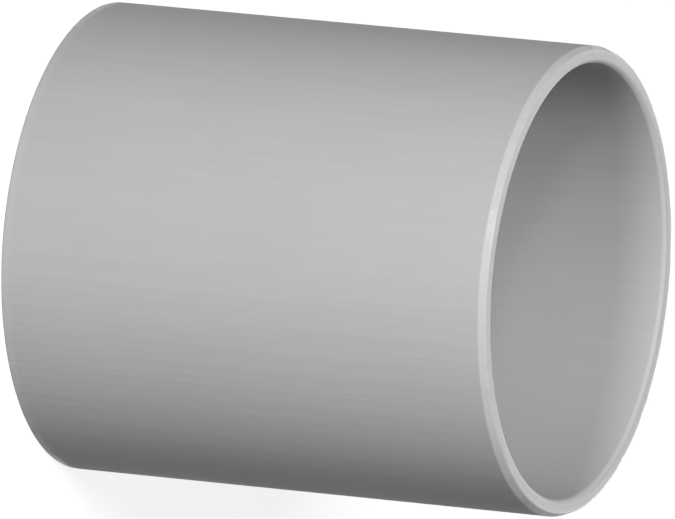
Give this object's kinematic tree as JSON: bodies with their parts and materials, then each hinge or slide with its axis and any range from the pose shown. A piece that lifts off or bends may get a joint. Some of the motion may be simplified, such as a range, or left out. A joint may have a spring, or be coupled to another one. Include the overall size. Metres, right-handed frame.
{
  "type": "pvc pipe coupler",
  "caption": "Plain moulded sleeve that joins two plastic pipes of one size, end to end, with a socket in each end and a low stop ring between them.",
  "frame": {"origin": "centre of the lower end face, on the axis and level with the surface that the coupler stands on", "axes": "+Z along the coupler's axis, out of the upper socket; the coupler is round, so +X and +Y are any two directions across it"},
  "size_m": [0.1192, 0.1192, 0.133],
  "materials": {
    "grey_pvc": "satin"
  },
  "bodies": {
    "root": {"coupler_body": "grey_pvc"}
  },
  "joints": []
}
